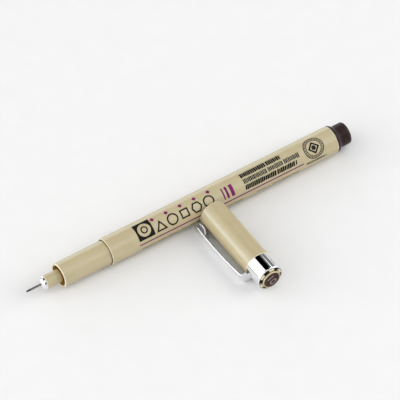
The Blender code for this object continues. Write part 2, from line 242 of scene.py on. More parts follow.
SMALL_STYLE = (-6.1, 0.66, 0.22, 0.12, 0.0)
SEAL_AT = (116.4, 0.2)
SEAL_DIAMOND = 2.3
SEAL_DIAMOND_STROKE = 0.62
SEAL_DOT = 0.85
SEAL_RINGS = ((3.95, 0.3), (2.95, 0.24))
SEAL_SIDES = 64
SEAL_TICKS = 36
SEAL_TICK = (3.0, 3.6)
SEAL_TICK_HALF_WIDTH = 0.14

# Each figure of the print: sides, turn, radius and height.
FIGURES = (
    (3, math.pi / 2, 2.6, -0.8),
    (ROUND_SIDES, 0.0, 2.15, -0.15),
    (4, math.pi / 4, 2.35, -0.15),
    (6, 0.0, 2.2, -0.15),
    (ROUND_SIDES, 0.0, 2.15, -0.15),
)

# Each row of strokes: start, end, height, stroke length, stroke width, gap and slant.
STROKE_ROWS = (
    (87.2, 104.2, 2.75, 1.8, 0.62, 0.11, 0.0),
    (87.3, 110.8, 0.42, 1.75, 0.40, 0.17, 0.0),
    (87.2, 109.1, -1.78, 1.8, 0.62, 0.11, 0.35),
)
SEAL_ROW = (112.2, 120.6, -4.5, 0.78, 0.34, 0.12, 0.0)

# How a row's strokes vary: strokes in a group, shares of width, height and gap, and the gap between groups.
DICE_SEED = 7
GROUP_STROKES = (9, 17)
WIDTH_SHARES = (0.8, 1.25)
HEIGHT_SHARES = (1.0, 1.0, 0.86)
GAP_SHARES = (0.8, 1.2)
GROUP_GAP = 2.6

# Marks on the cap's disc, in millimetres from its middle.
DISC_MARK_TURN = math.radians(94.2)
DISC_BAR = (-1.55, 0.0, 0.42, 2.7)
DISC_HEXAGON_X = 0.95
DISC_HEXAGON_HALF = (1.2, 1.5)
DISC_HEXAGON_SIZES = (1.0, 0.68)

# How much shade is painted on a surface, from 0 on the outside to 1 in a gap that light hardly reaches.
FOOT_PAINTED_SHADE = 0.2
OPEN = 0.4
SHADED = 0.7
DEEP = 1.0

# How near a wall a point counts as on it, in millimetres, for the painted shade.
WALL_PLAY = 0.02
ROOT_PLAY = 0.01
VENT_MARGIN = 0.1
FOOT_HEIGHT = 0.2
FOOT_WIDTH = 0.1

# Materials: colours are pairs, the two ends of the mottling.
CREAM = ((0.465, 0.385, 0.215), (0.485, 0.405, 0.232))
# Lighter colour of rounded cream edges: partly rubbing, partly a painted highlight.
CREAM_WEAR_AND_HIGHLIGHT = (0.86, 0.81, 0.62)
# Painted amber glow of light through the cream plastic in recesses, going over to painted shade deeper in.
AMBER_GLOW_AND_SHADE = (0.60, 0.33, 0.07)
COOL = (0.74, 0.90, 1.0)
# Painted shade inside the crown's vents.
VENT_SHADE_BROWN = (0.040, 0.024, 0.006)
LINER_WHITE = ((0.62, 0.58, 0.47), (0.68, 0.64, 0.53))
BROWN = ((0.018, 0.008, 0.0075), (0.026, 0.012, 0.011))
# Lighter colour of rounded plug edges: partly rubbing, partly a painted highlight.
BROWN_WEAR_AND_HIGHLIGHT = (0.040, 0.026, 0.023)
DISC_BROWN = ((0.036, 0.014, 0.013), (0.046, 0.018, 0.016))
# Lighter colour of rounded disc edges: partly rubbing, partly a painted highlight.
DISC_BROWN_WEAR_AND_HIGHLIGHT = (0.08, 0.04, 0.034)
CHROME = ((0.83, 0.84, 0.86), (0.88, 0.88, 0.89))
STEEL = ((0.20, 0.19, 0.18), (0.26, 0.25, 0.24))
NIB_BLACK = ((0.004, 0.003, 0.003), (0.010, 0.008, 0.008))
FIBRE_BLACK = ((0.006, 0.006, 0.009), (0.014, 0.014, 0.020))
FILM = ((0.66, 0.68, 0.70), (0.74, 0.76, 0.78))
BLACK_INK = ((0.002, 0.002, 0.001), (0.006, 0.005, 0.004))
PURPLE_INK = ((0.150, 0.008, 0.082), (0.180, 0.013, 0.105))
PALE_INK = ((0.22, 0.19, 0.16), (0.28, 0.25, 0.21))
PAPER = ((0.80, 0.80, 0.80), (0.81, 0.81, 0.81))

# Materials: a small stretch draws the grain out along that axis. A spread says which part of a noise counts.
ALONG_PEN = (0.06, 1.0, 1.0)
ALONG_CAP = (1.0, 0.06, 1.0)
EVEN = (1.0, 1.0, 1.0)
NOISE_DETAIL = 3.0
MOTTLE_SCALE = 140.0
MOTTLE_DETAIL = 4.0
MOTTLE_SPREAD = (0.35, 0.65)
# Patches where rounded edges take their lighter colour: partly rubbing, partly a painted highlight.
WEAR_AND_HIGHLIGHT_SCALE = 900.0
WEAR_AND_HIGHLIGHT_SPREAD = (0.3, 0.6)
WEAR_AND_HIGHLIGHT_SHARES = (0.55, 1.0)
GRAIN_SPREAD = (0.3, 0.7)
SCUFF_SCALE = 0.35
SCUFF_DETAIL = 6.0
SCUFF_SPREAD = (0.62, 0.72)
SCUFF_ROUGHNESS = (0.0, 0.12)
DEEP_SHADE = 0.25

# Lights: azimuth and elevation of the middle, width and height, all in degrees, and radiance. The room's
# stops are (sine of the elevation, share of its strength).
LIGHT_DISTANCE = 1.6
SOFTBOXES = (
    ("main_softbox", -120, 60, 36, 34, 1.05),
    ("top_softbox", -135, 80, 30, 24, 1.1),
    ("key_softbox", 132, 38, 52, 40, 1.2),
    ("low_key_softbox", 150, 16, 40, 26, 3.05),
    ("right_softbox", -25, 24, 44, 34, 3.4),
    ("back_softbox", 72, 15, 30, 26, 1.85),
    ("front_right_softbox", -50, 50, 36, 28, 1.45),
    ("left_low_softbox", -165, 16, 50, 30, 2.1),
    ("left_softbox", -165, 46, 40, 30, 1.1),
    ("right_high_softbox", 10, 52, 50, 28, 1.6),
)
ROOM_STRENGTH = 1.0
ROOM_STOPS = ((0.13, 1.0), (0.17, 0.28), (0.42, 0.22), (0.70, 0.14), (0.76, 0.0))
FLOOR_HALF = 4.0

# How finely the shapes are drawn.
SEGMENTS = 160
FINE_SEGMENTS = 64
ARC_STEPS = 5
DOME_STEPS = 12
FLARE_STEPS = 8
ROLL_STEPS = 6
VENT_EDGE_STEPS = 3
ARM_PIECES = 40
FOLD_PIECES = 20
RETURN_PIECES = 14
EDGE_SHARE = 0.3
GUARD_SHARE = 1.5
SHARP_DEGREES = 35
CLIP_SHARP_DEGREES = 50
INK_SHARP_DEGREES = 60
INK_WELD = 0.0005
INK_CUT_PLAY = 0.0001


# ---------------------------------------------------------------- frames and meshes


def axis_frame(origin, along, out):
    """A matrix whose +Z runs along a piece's axis and whose +X points out from it."""
    along = Vector(along)
    out = Vector(out)
    matrix = Matrix((out, along.cross(out), along)).transposed().to_4x4()
    matrix.translation = origin
    return matrix


PRINT_OUT = (0, -math.sin(PRINT_TURN), math.cos(PRINT_TURN))
CLIP_OUT = (-math.cos(CLIP_DROP), 0, -math.sin(CLIP_DROP))
PEN = axis_frame((TIP_X, PEN_Y, PEN_Z), (1, 0, 0), PRINT_OUT)
CAP = axis_frame((CAP_X, MOUTH_Y, CAP_Z), (0, -1, 0), CLIP_OUT)


def pen_span(node):
    """Start station, end station and outer radius of a pen node."""
    low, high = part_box(node)
    return (low.x - TIP_X) / MM, (high.x - TIP_X) / MM, (high.z - low.z) / 2 / MM


def cap_span(node):
    """Start station, end station and outer radius of a cap node."""
    low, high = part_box(node)
    return (MOUTH_Y - high.y) / MM, (MOUTH_Y - low.y) / MM, (high.z - low.z) / 2 / MM


def soften(outline, closed):
    """Rounds an outline's corners.

    A point is (station, radius) or (station, radius, edge radius), and a result is (station, radius, edge
    share), where the edge share is 1 on a rounded edge. Materials paint such edges lighter, partly rubbing
    and partly a painted highlight. A guard point on each side of an edge keeps the flats' shading flat."""
    points = [Vector(point[:2]) for point in outline]
    edges = [point[2] if len(point) > 2 else DEFAULT_EDGE for point in outline]
    count = len(points)
    result = []
    for i, point in enumerate(points):
        if edges[i] == 0 or not closed and i in (0, count - 1):
            result.append((point.x, point.y, 0.0))
            continue
        before = points[i - 1] - point
        after = points[(i + 1) % count] - point
        reach = min(edges[i], EDGE_SHARE * before.length, EDGE_SHARE * after.length)
        before.normalize()
        after.normalize()
        result.append((*(point + before * reach * GUARD_SHARE), 0.0))
        for step in range(ARC_STEPS + 1):
            part = step / ARC_STEPS
            arc = point + before * reach * (1 - part) ** 2 + after * reach * part ** 2
            result.append((*arc, 1.0))
        result.append((*(point + after * reach * GUARD_SHARE), 0.0))
    return result


def finish_mesh(name, bm, sharp_degrees=SHARP_DEGREES):
    """Turns a bmesh into a smooth-shaded mesh with its faces pointing out."""
    bmesh.ops.recalc_face_normals(bm, faces=bm.faces)
    mesh = bpy.data.meshes.new(name)
    bm.to_mesh(mesh)
    bm.free()
    mesh.shade_smooth()
    mesh.set_sharp_from_angle(angle=math.radians(sharp_degrees))
    return mesh


def even_angles(segments):
    return [2 * math.pi * i / segments for i in range(segments)]


def outside(station, radius):
    """Painted shade for a piece with no shaded inside: none."""
    return 0.0


def lathe(name, outline_at, matrix, angles, painted_shade_at=outside):
    """A turned mesh from (station, radius, edge share) points, which outline_at gives for an angle.

    They start and end on the axis, or else the outline closes on itself and the mesh is a tube. The edge
    shares go to the lighter-edge attribute, partly rubbing and partly painted highlight. painted_shade_at
    gives the attribute hollow, from 0 on the outside to 1 deep in a hole, where materials paint shade."""
    bm = bmesh.new()
    # Per vertex: lighter edges (partly rubbing, partly painted highlight) and painted shade.
    edge_wear_and_highlight = bm.verts.layers.float.new("edge_wear_and_highlight")
    hollow = bm.verts.layers.float.new("hollow")
    rings = []
    for angle in angles:
        ring = []
        for i, (station, radius, worn) in enumerate(outline_at(angle)):
            if radius == 0 and rings:
                ring.append(rings[0][i])
                continue
            point = Vector((radius * math.cos(angle), radius * math.sin(angle), station)) * MM
            vertex = bm.verts.new(matrix @ point)
            vertex[edge_wear_and_highlight] = worn
            vertex[hollow] = painted_shade_at(station, radius)
            ring.append(vertex)
        rings.append(ring)
    closed = outline_at(0.0)[0][1] > 0
    for a, b in zip(rings, rings[1:] + rings[:1]):
        for j in range(len(a) if closed else len(a) - 1):
            k = (j + 1) % len(a)
            corners = list(dict.fromkeys((a[j], b[j], b[k], a[k])))
            bm.faces.new(corners)
    return finish_mesh(name, bm)


def turned(name, outline, matrix, segments=SEGMENTS, painted_shade_at=outside):
    """A turned mesh from one outline with rounded corners."""
    rounded = soften(outline, closed=outline[0][1] > 0)
    return lathe(name, lambda angle: rounded, matrix, even_angles(segments), painted_shade_at)


def add_piece(name, mesh, material, body, nodes=()):
    """Puts a piece in the scene. It rides on a body, and stands for the nodes named."""
    piece = bpy.data.objects.new(name, mesh)
    bpy.context.scene.collection.objects.link(piece)
    mesh.materials.append(material)
    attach(piece, body)
    if nodes:
        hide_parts(*nodes)
    return piece


# ---------------------------------------------------------------- materials


def make_node(tree, kind, settings=None, **inputs):
    """Adds a shader node. An input's value is a number, a colour or the socket to link to it."""
    made = tree.nodes.new("ShaderNode" + kind)
    for key, value in (settings or {}).items():
        setattr(made, key, value)
    for key, value in inputs.items():
        fill_socket(tree, made.inputs[key.replace("_", " ")], value)
    return made


def fill_socket(tree, socket, value):
    if isinstance(value, bpy.types.NodeSocket):
        tree.links.new(value, socket)
    else:
        socket.default_value = value


def make_ramp(tree, value, low, high, low_colour, high_colour):
    """A colour ramp from one colour to another between two places."""
    ramp = make_node(tree, "ValToRGB", Fac=value)
    first, last = ramp.color_ramp.elements
    first.position, last.position = low, high
    first.color = (*low_colour, 1.0)
    last.color = (*high_colour, 1.0)
    return ramp.outputs["Color"]


def make_range(tree, value, low, high, start=0.0, end=1.0):
    """A number mapped from one range to another."""
    mapped = make_node(tree, "MapRange", Value=value)
    mapped.inputs["From Min"].default_value = low
    mapped.inputs["From Max"].default_value = high
    mapped.inputs["To Min"].default_value = start
    mapped.inputs["To Max"].default_value = end
    return mapped.outputs["Result"]


def make_math(tree, operation, first, second):
    made = make_node(tree, "Math", {"operation": operation})
    fill_socket(tree, made.inputs[0], first)
    fill_socket(tree, made.inputs[1], second)
    return made.outputs["Value"]


def make_noise(tree, scale, stretch=EVEN, detail=NOISE_DETAIL):
    """Noise in the object's own axes. A small stretch value draws it out along that axis."""
    place = make_node(tree, "TexCoord").outputs["Object"]
    mapping = make_node(tree, "Mapping", Vector=place, Scale=stretch)
    noise = make_node(tree, "TexNoise", Vector=mapping.outputs["Vector"], Scale=scale, Detail=detail)
    return noise.outputs["Fac"]


def make_attribute(tree, name):
    return make_node(tree, "Attribute", {"attribute_name": name}).outputs["Fac"]


def make_mix(tree, share, colour, other):
    return make_node(tree, "MixRGB", Fac=share, Color1=colour, Color2=other).outputs["Color"]


def make_colour(tree, colours, worn, hollow):
    """Mottled colour, lighter on edges (part rubbing, part painted highlight), with painted shade in holes.
    """
    mottle = make_noise(tree, MOTTLE_SCALE, detail=MOTTLE_DETAIL)
    colour = make_ramp(tree, mottle, *MOTTLE_SPREAD, *colours)
    # Lighter rounded edges, in patches: partly rubbing, partly a painted highlight.
    if worn:
        patches = make_range(tree, make_noise(tree, WEAR_AND_HIGHLIGHT_SCALE), *WEAR_AND_HIGHLIGHT_SPREAD, *WEAR_AND_HIGHLIGHT_SHARES)
        share = make_math(tree, "MULTIPLY", make_attribute(tree, "edge_wear_and_highlight"), patches)
        colour = make_mix(tree, share, colour, (*worn, 1.0))
    # Painted shade in holes, from the given colour at OPEN to a quarter of it at DEEP.
    if hollow:
        depth = make_attribute(tree, "hollow")
        share = make_range(tree, depth, 0.0, OPEN)
        deep = [DEEP_SHADE * part for part in hollow]
        inside = make_ramp(tree, depth, OPEN, DEEP, hollow, deep)
        colour = make_mix(tree, share, colour, inside)
    return colour


def surface(name, colours, roughness, grain, metallic=0.0, worn=None, hollow=None, specular=0.5, tint=None):
    """A material with mottled colour, fine grain and scuffs.

    colours are the two ends of the mottling, roughness its (low, high) range, and grain is (scale, stretch,
    bump depth in millimetres). worn is the colour that rounded edges tend to, partly rubbing and partly a
    painted highlight, and hollow the colour of painted shade inside holes."""
    material = bpy.data.materials.new(name)
    material.use_nodes = True
    tree = material.node_tree
    shader = tree.nodes["Principled BSDF"]
    grain_scale, stretch, depth = grain
    tree.links.new(make_colour(tree, colours, worn, hollow), shader.inputs["Base Color"])
    fine = make_noise(tree, grain_scale, stretch)
    scuff_noise = make_noise(tree, grain_scale * SCUFF_SCALE, stretch, SCUFF_DETAIL)
    scuffs = make_range(tree, scuff_noise, *SCUFF_SPREAD, *SCUFF_ROUGHNESS)
    rough = make_math(tree, "ADD", make_range(tree, fine, *GRAIN_SPREAD, *roughness), scuffs)
    tree.links.new(rough, shader.inputs["Roughness"])
    bump = make_node(tree, "Bump", Height=fine, Strength=1.0, Distance=depth * MM)
    tree.links.new(bump.outputs["Normal"], shader.inputs["Normal"])
    shader.inputs["Metallic"].default_value = metallic
    shader.inputs["Specular IOR Level"].default_value = specular
    if tint:
        shader.inputs["Specular Tint"].default_value = (*tint, 1.0)
    return material


def make_materials():
    """Every material, by its name here: colours, roughness, grain and the rest."""
    # Edge colours are partly rubbing, partly painted highlight; hole colours are painted glow and shade.
    gloss = {"worn": CREAM_WEAR_AND_HIGHLIGHT, "hollow": AMBER_GLOW_AND_SHADE, "specular": 1.0, "tint": COOL}
    crown = {"worn": CREAM_WEAR_AND_HIGHLIGHT, "hollow": VENT_SHADE_BROWN, "specular": 0.4}
    plug = {"worn": BROWN_WEAR_AND_HIGHLIGHT, "specular": 0.15}
    disc = {"worn": DISC_BROWN_WEAR_AND_HIGHLIGHT, "specular": 0.12}
    metal = {"metallic": 1.0}
    ink = {"specular": 0.2}
    table = {
        "cream_pen": (CREAM, (0.30, 0.38), (2600, ALONG_PEN, 0.0015), gloss),
        "cream_cap": (CREAM, (0.26, 0.34), (2600, ALONG_CAP, 0.0010), gloss),
        "cream_crown": (CREAM, (0.30, 0.38), (2600, EVEN, 0.0015), crown),
        "liner_plastic": (LINER_WHITE, (0.42, 0.55), (2200, EVEN, 0.003), {}),
        "brown_plastic": (BROWN, (0.34, 0.42), (2400, EVEN, 0.003), plug),
        "disc_plastic": (DISC_BROWN, (0.36, 0.46), (3000, EVEN, 0.002), disc),
        "band_chrome": (CHROME, (0.02, 0.05), (900, ALONG_CAP, 0.0001), metal),
        "clip_chrome": (CHROME, (0.04, 0.08), (900, ALONG_CAP, 0.0001), metal),
        "tip_chrome": (CHROME, (0.05, 0.10), (2000, ALONG_PEN, 0.0001), metal),
        "needle_steel": (STEEL, (0.14, 0.24), (4000, ALONG_PEN, 0.0002), metal),
        "nib_fibre": (NIB_BLACK, (0.6, 0.85), (9000, ALONG_PEN, 0.008), {"specular": 0.1}),
        "ink_fibre": (FIBRE_BLACK, (0.8, 0.95), (5000, ALONG_PEN, 0.03), {}),
        "wrap_film": (FILM, (0.2, 0.3), (1200, ALONG_PEN, 0.004), {}),
        "black_ink": (BLACK_INK, (0.34, 0.46), (3500, EVEN, 0.001), ink),
        "purple_ink": (PURPLE_INK, (0.34, 0.46), (3500, EVEN, 0.001), ink),
        "pale_ink": (PALE_INK, (0.34, 0.46), (3500, EVEN, 0.001), {}),
        "floor": (PAPER, (0.85, 0.95), (900, EVEN, 0.01), {"specular": 0.1}),
    }
    return {name: surface(name, *row, **more) for name, (*row, more) in table.items()}


# ---------------------------------------------------------------- pen


def make_tip(materials):
    """Nib, needle tube and ferrule."""
    start, end, radius = pen_span("nib_core")
    outline = [(start, 0.0), (start, radius, NIB_EDGE), (end, radius), (end, 0.0)]
    mesh = turned("nib_point", outline, PEN, FINE_SEGMENTS)
    add_piece("nib_point", mesh, materials["nib_fibre"], "pen", ["nib_core"])

    start, end, radius = pen_span("needle_tube")
    bore = radius + NEEDLE_PLAY
    outline = [(start, NEEDLE_BORE, NEEDLE_BORE_EDGE), (start, radius, NEEDLE_EDGE)]
    outline += [(end, radius), (end, NEEDLE_BORE)]
    mesh = turned("needle_pipe", outline, PEN, FINE_SEGMENTS)
    add_piece("needle_pipe", mesh, materials["needle_steel"], "pen", ["needle_tube"])

    start, end, radius = pen_span("tip_ferrule")
    outline = []
    for step in range(DOME_STEPS + 1):
        turn = math.pi / 2 * step / DOME_STEPS
        station = start + (FERRULE_SHOULDER - start) * (1 - math.cos(turn))
        outline.append((station, FERRULE_TIP + (radius - FERRULE_TIP) * math.sin(turn), 0.0))
    outline += [(FERRULE_SHOULDER, FERRULE_SPIGOT, 0.0), (end, FERRULE_SPIGOT, 0.0)]
    outline += [(end, bore, 0.0), (start, bore, 0.0)]
    mesh = lathe("ferrule_dome", lambda angle: outline, PEN, even_angles(SEGMENTS))
    add_piece("ferrule_dome", mesh, materials["tip_chrome"], "pen", ["tip_ferrule"])


def make_holder(materials):
    """The tip's holder: a slim nose, with painted shade where it lies inside the section, and a collar."""
    start, end, radius = pen_span("nib_holder")
    mouth = pen_span("front_section")[0]

    def painted_shade_at(station, at):
        return DEEP if station > mouth else 0.0

    before, after = NOSE_GUARDS
    outline = [(start, HOLDER_SOCKET), (start, HOLDER_NOSE, HOLDER_EDGE), (mouth - before, HOLDER_NOSE, 0)]
    outline += [(mouth + after, HOLDER_NOSE, 0), (COLLAR_START, HOLDER_NOSE, COLLAR_FILLET)]
    outline += [(COLLAR_START, radius), (end, radius), (end, HOLDER_SOCKET)]
    mesh = turned("holder_nose", outline, PEN, painted_shade_at=painted_shade_at)
    add_piece("holder_nose", mesh, materials["cream_pen"], "pen", ["nib_holder"])


def make_section(materials):
    """The front section, with painted shade at the barrel's mouth and a painted amber glow in its recess."""
    start, end, radius = pen_span("front_section")
    joint = pen_span("barrel")[0] - JOINT_LINE

    def painted_shade_at(station, at):
        if station > joint:
            return DEEP
        return OPEN if at < SECTION_RECESS + WALL_PLAY else 0.0

    before, after = JOINT_GUARDS
    outline = [(start, SECTION_RECESS, SECTION_BORE_EDGE), (start, radius, SECTION_EDGE)]
    outline += [(joint - before, radius, 0), (joint + after, radius, 0), (end, radius)]
    outline += [(end, SECTION_BORE), (COLLAR_START, SECTION_BORE), (COLLAR_START, SECTION_RECESS)]
    mesh = turned("section_sleeve", outline, PEN, painted_shade_at=painted_shade_at)
    add_piece("section_sleeve", mesh, materials["cream_pen"], "pen", ["front_section"])


def make_barrel(materials):
    """The main tube, with painted shade on its inner faces."""
    start, end, radius = pen_span("barrel")

    def painted_shade_at(station, at):
        return DEEP if at < BARREL_MOUTH + WALL_PLAY else 0.0

    outline = [(start, BARREL_MOUTH, BARREL_MOUTH_EDGE), (start, radius, BARREL_EDGE)]
    outline += [(end, radius, BARREL_END_EDGE), (end, BARREL_BORE, BARREL_BORE_EDGE)]
    outline += [(BARREL_MOUTH_END, BARREL_BORE), (BARREL_MOUTH_END, BARREL_MOUTH)]
    mesh = turned("barrel_tube", outline, PEN, painted_shade_at=painted_shade_at)
    add_piece("barrel_tube", mesh, materials["cream_pen"], "pen", ["barrel"])


def make_plug(materials):
    """The end plug: a skirt inside the barrel, a flange that flares down to the neck, a groove and a knob."""
    start, end, radius = pen_span("end_plug")
    outline = [(PLUG_FLOOR, 0.0), (PLUG_FLOOR, PLUG_SKIRT_BORE), (start, PLUG_SKIRT_BORE)]
    outline += [(start, PLUG_SKIRT, SKIRT_EDGE), (PLUG_FLANGE_START, PLUG_SKIRT)]
    outline.append((PLUG_FLANGE_START, radius, FLANGE_EDGE))
    for i in range(FLARE_STEPS + 1):
        part = i / FLARE_STEPS
        station = PLUG_FLARE_START + (PLUG_FLARE_END - PLUG_FLARE_START) * part
        drop = (1 + math.cos(math.pi * part)) / 2
        outline.append((station, PLUG_NECK + (radius - PLUG_NECK) * drop, FLARE_EDGE))
    outline.append((PLUG_GROOVE_START, PLUG_NECK))
    outline.append((PLUG_GROOVE_START + PLUG_GROOVE_SLOPE, PLUG_GROOVE, GROOVE_EDGE))
    outline.append((PLUG_GROOVE_END - PLUG_GROOVE_SLOPE, PLUG_GROOVE, GROOVE_EDGE))
    outline.append((PLUG_GROOVE_END + PLUG_GROOVE_SLOPE, PLUG_KNOB))
    outline += [(end, PLUG_KNOB, KNOB_EDGE), (end, 0.0)]
    mesh = turned("plug_knob", outline, PEN)
    add_piece("plug_knob", mesh, materials["brown_plastic"], "pen", ["end_plug"])


# ---------------------------------------------------------------- cap


def cut_box(mesh, low, high, matrix):
    """A mesh with a box taken out of it. The box's corners are in millimetres in the matrix's axes."""
    box = bmesh.new()
    bmesh.ops.create_cube(box, size=1.0)
    for vertex in box.verts:
        corner = Vector([low[i] if vertex.co[i] < 0 else high[i] for i in range(3)]) * MM
        vertex.co = matrix @ corner
    cutter = bpy.data.objects.new("cutter", finish_mesh("cutter", box))
    whole = bpy.data.objects.new("whole", mesh)
    for obj in (cutter, whole):
        bpy.context.scene.collection.objects.link(obj)
    boolean = whole.modifiers.new("Cut", "BOOLEAN")
    boolean.object = cutter
    graph = bpy.context.evaluated_depsgraph_get()
    result = bpy.data.meshes.new_from_object(whole.evaluated_get(graph))
    result.name = mesh.name
    for obj in (cutter, whole):
        bpy.data.objects.remove(obj)
    return result


def make_shell(materials):
    """The cap's tube, with a slot in its spigot for the clip, and painted shade on its inner faces and
    spigot.
    """
    start, end, radius = cap_span("cap_tube")

    def painted_shade_at(station, at):
        return SHADED if at < SPIGOT + WALL_PLAY else 0.0

    outline = [(start, CAP_BORE, CAP_BORE_EDGE), (start, radius, CAP_EDGE)]
    outline += [(TUBE_END, radius, TUBE_END_EDGE), (TUBE_END, SPIGOT), (end, SPIGOT), (end, SPIGOT_BORE)]
    outline += [(CAP_STEP, SPIGOT_BORE), (CAP_STEP, CAP_BORE)]
    mesh = turned("cap_shell", outline, CAP, painted_shade_at=painted_shade_at)
    slot_low = (LINER_BORE, -SLOT_HALF_WIDTH, SLOT_START)
    slot_high = (radius, SLOT_HALF_WIDTH, end + SLOT_PAST_END)
    mesh = cut_box(mesh, slot_low, slot_high, CAP)
    add_piece("cap_shell", mesh, materials["cream_cap"], "cap", ["cap_tube"])


def make_liner(materials):
    """The liner that seals round the tip."""
    start, end, radius = cap_span("inner_cap")
    outline = [(LINER_FLOOR, 0.0), (LINER_FLOOR, LINER_BORE, LINER_FLOOR_EDGE)]
    outline += [(start, LINER_BORE, LINER_MOUTH_EDGE), (start, radius), (LINER_STEP, radius)]
    outline += [(LINER_STEP, LINER_TAIL), (end, LINER_TAIL, LINER_TAIL_EDGE), (end, 0.0)]
    mesh = turned("cap_liner", outline, CAP)
    add_piece("cap_liner", mesh, materials["liner_plastic"], "cap", ["inner_cap"])


def band_outline():
    """(station, radius) points of the band's outside: straight, a small step up to the lip, and its roll."""
    start, end, lip_r = cap_span("crown_band")
    before, after = LIP_SLOPE
    outline = [(start, BAND_R), (start + BAND_GUARD, BAND_R), (NOTCH_END, BAND_R)]
    outline += [(LIP_START - LIP_GUARD, BAND_R), (LIP_START - before, BAND_R), (LIP_START + after, lip_r)]
    outline += [(end - LIP_ROLL_LENGTH - ROLL_GUARD, lip_r), (end - LIP_ROLL_LENGTH, lip_r)]
    for i in range(1, ROLL_STEPS + 1):
        turn = math.pi / 2 * i / ROLL_STEPS
        station = end - LIP_ROLL_LENGTH * (1 - math.sin(turn))
        outline.append((station, lip_r - LIP_ROLL * (1 - math.cos(turn))))
    return outline + [(end - down, LIP_BORE + out) for down, out in LIP_TURN]


def make_band(materials):
    """The bright band: one sheet, rolled over at the crown and notched where the clip comes out."""
    outline = band_outline()
    half = math.asin(NOTCH_HALF_WIDTH / BAND_R)
    angles = sorted(even_angles(SEGMENTS) + [half, 2 * math.pi - half])
    bm = bmesh.new()
    rings = []
    for angle in angles:
        side = Vector((math.cos(angle), math.sin(angle), 0.0))
        points = [(side * radius + Vector((0, 0, station))) * MM for station, radius in outline]
        rings.append([bm.verts.new(CAP @ point) for point in points])
    for i, angle in enumerate(angles):
        a, b = rings[i], rings[(i + 1) % len(rings)]
        in_notch = angle < half or angle >= 2 * math.pi - half
        for j in range(len(outline) - 1):
            if in_notch and outline[j + 1][0] <= NOTCH_END:
                continue
            bm.faces.new((a[j], b[j], b[j + 1], a[j + 1]))
    bmesh.ops.delete(bm, geom=[v for v in bm.verts if not v.link_faces], context="VERTS")
    mesh = finish_mesh("band_sheet", bm)
    band = add_piece("band_sheet", mesh, materials["band_chrome"], "cap", ["crown_band"])
    wall = band.modifiers.new("Wall", "SOLIDIFY")
    wall.thickness = BAND_WALL * MM
    wall.offset = -1.0
    rounding = band.modifiers.new("Rounding", "BEVEL")
    rounding.width = BAND_EDGE * MM
    rounding.segments = 2
    rounding.limit_method = "ANGLE"
    rounding.angle_limit = BAND_EDGE_ANGLE


def crown_outline(angle):
    """The crown insert's outline at an angle: a vent, a tooth, or the rounded step between them."""
    pitch = 2 * math.pi / VENTS
    from_vent = abs((angle - VENT_TURN + pitch / 2) % pitch - pitch / 2)
    part = (from_vent - VENT_HALF_ANGLE) / VENT_EDGE_ANGLE + 0.5
    part = min(1.0, max(0.0, part))
    tooth = part * part * (3 - 2 * part)
    start, hub_end, radius = cap_span("crown_insert")

    def blend(vent_point, tooth_point):
        return tuple(a + (b - a) * tooth for a, b in zip(vent_point, tooth_point))

    outline = [(start, 0.0, 0.0), (start, radius, 0.0)]
    for rim_r in (radius, TEETH_R):
        outline.append(blend((VENT_FLOOR, rim_r, 0.0), (TEETH_START, rim_r, 0.0)))
    for vent_r, (down, inward, worn) in zip(VENT_RINGS, TOOTH_EDGE):
        outline.append(blend((VENT_FLOOR, vent_r, 0.0), (TEETH_END - down, TEETH_R - inward, worn)))
    low_foot, mid_foot, high_foot = [(TEETH_END + up, HUB_R + out, worn) for up, out, worn in HUB_FOOT]
    outline.append(blend((VENT_FLOOR, VENT_ROOT, 0.0), low_foot))
    outline.append(blend((TEETH_END, VENT_ROOT, 0.0), mid_foot))
    outline.append(high_foot)
    outline += [(hub_end - down, HUB_R - inward, worn) for down, inward, worn in HUB_EDGE]
    outline += [(hub_end - down, SEAT_R + out, worn) for down, out, worn in SEAT_EDGE]
    return outline + [(SEAT_FLOOR, SEAT_R, 0.0), (SEAT_FLOOR, 0.0, 0.0)]


def vent_painted_shade(station, radius):
    """How much painted shade a crown point gets: full deep in a vent, and a little at the foot of the hub."""
    in_wall = station <= TEETH_END and radius < VENT_ROOT + WALL_PLAY
    if radius > VENT_ROOT - ROOT_PLAY and (in_wall or station < TEETH_START - VENT_MARGIN):
        return DEEP
    at_foot = TEETH_END < station < TEETH_END + FOOT_HEIGHT and radius < HUB_R + FOOT_WIDTH
    return FOOT_PAINTED_SHADE if at_foot else 0.0


def make_crown(materials):
    """Vented crown insert, with painted shade in its vents and at the hub's foot, and the dark disc in its
    hub.
    """
    angles = even_angles(SEGMENTS)
    for vent in range(VENTS):
        middle = VENT_TURN + 2 * math.pi * vent / VENTS
        for side in (-1, 1):
            for step in range(-VENT_EDGE_STEPS, VENT_EDGE_STEPS + 1):
                edge = side * VENT_HALF_ANGLE + step / VENT_EDGE_STEPS * VENT_EDGE_ANGLE / 2
                angles.append((middle + edge) % (2 * math.pi))
    mesh = lathe("crown_vents", crown_outline, CAP, sorted(angles), vent_painted_shade)
    add_piece("crown_vents", mesh, materials["cream_crown"], "cap", ["crown_insert"])

    start, end, radius = cap_span("colour_disc")
    outline = [(start, 0.0), (start, radius), (end, radius, DISC_EDGE)]
    outline += [(end - DISC_DISH, radius - DISC_RIM, DISC_RIM_EDGE), (end - DISC_DISH, 0.0)]
    mesh = turned("crown_disc", outline, CAP)
    add_piece("crown_disc", mesh, materials["disc_plastic"], "cap", ["colour_disc"])


# ---------------------------------------------------------------- clip


def arm_radius(station):
    """Distance of the arm's middle from the cap's axis: a shallow bow."""
    return ARM_CREST_R - ARM_BOW * (station - ARM_CREST) ** 2


